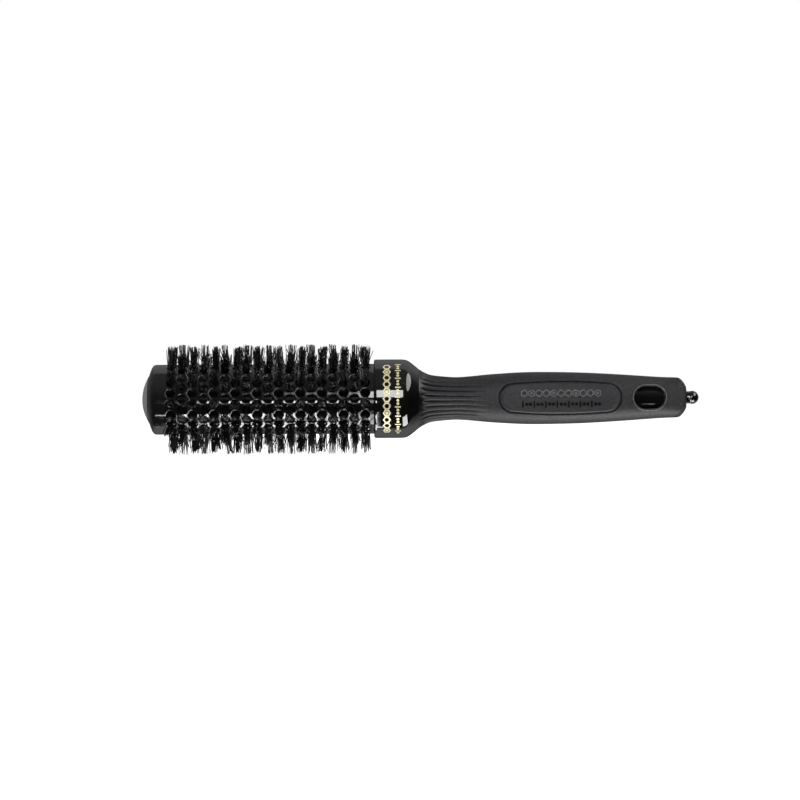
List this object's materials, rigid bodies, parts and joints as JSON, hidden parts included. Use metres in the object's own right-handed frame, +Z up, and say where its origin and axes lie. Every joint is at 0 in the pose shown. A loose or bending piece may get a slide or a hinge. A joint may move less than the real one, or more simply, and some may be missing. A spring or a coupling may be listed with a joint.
{
  "type": "round barrel brush",
  "caption": "Round vented barrel brush for blow-drying, with bristle lanes, a fluted soft grip and a pull-out sectioning pick stored in its handle.",
  "frame": {"origin": "centre of the bounding box, on the brush's long axis", "axes": "+X along the brush from the dome cap to the pick's knob, -Y out of the front label panel, +Z up across the handle's wide side"},
  "size_m": [0.278, 0.055, 0.055],
  "materials": {
    "coated_barrel": "gloss",
    "satin_cap": "satin",
    "gloss_collar": "gloss",
    "bristle_nylon": "satin",
    "stem_steel": "satin",
    "frame_plastic": "matte",
    "steel": "polished",
    "brass": "satin",
    "gloss_core": "gloss",
    "soft_grip": "matte",
    "panel_rubber": "matte",
    "ring_rubber": "matte",
    "gloss_knob": "gloss"
  },
  "bodies": {
    "brush": {"barrel": "coated_barrel", "dome_cap": "satin_cap", "collar": "gloss_collar", "bristle_lane_01": "bristle_nylon", "bristle_lane_02": "bristle_nylon", "bristle_lane_03": "bristle_nylon", "bristle_lane_04": "bristle_nylon", "bristle_lane_05": "bristle_nylon", "bristle_lane_06": "bristle_nylon", "bristle_lane_07": "bristle_nylon", "bristle_lane_08": "bristle_nylon", "bristle_lane_09": "bristle_nylon", "bristle_lane_10": "bristle_nylon", "stem_wire_01": "stem_steel", "stem_wire_02": "stem_steel", "stem_wire_03": "stem_steel", "stem_wire_04": "stem_steel", "stem_wire_05": "stem_steel", "stem_wire_06": "stem_steel", "stem_wire_07": "stem_steel", "stem_wire_08": "stem_steel", "stem_wire_09": "stem_steel", "stem_wire_10": "stem_steel", "core_spindle": "frame_plastic", "front_retainer": "frame_plastic", "rear_retainer": "frame_plastic", "tie_screw": "steel", "tie_washer": "steel", "threaded_insert": "brass", "handle_core": "gloss_core", "grip": "soft_grip", "label_panel_front": "panel_rubber", "label_panel_back": "panel_rubber", "pick_guide_tube": "steel", "friction_ring": "ring_rubber", "mouth_bush": "frame_plastic"},
    "pick_slider": {"pick_stop_sleeve": "brass"},
    "pick": {"pick_pin": "steel", "pick_knob": "gloss_knob"}
  },
  "joints": [
    {"name": "pick_slide", "type": "slide", "parent": "brush", "child": "pick_slider", "axis": [1, 0, 0], "range_m": [0, 0.07]},
    {"name": "pick_spin", "type": "hinge", "parent": "pick_slider", "child": "pick", "pos_m": [0.1322, 0, 0], "axis": [1, 0, 0], "continuous": true}
  ]
}
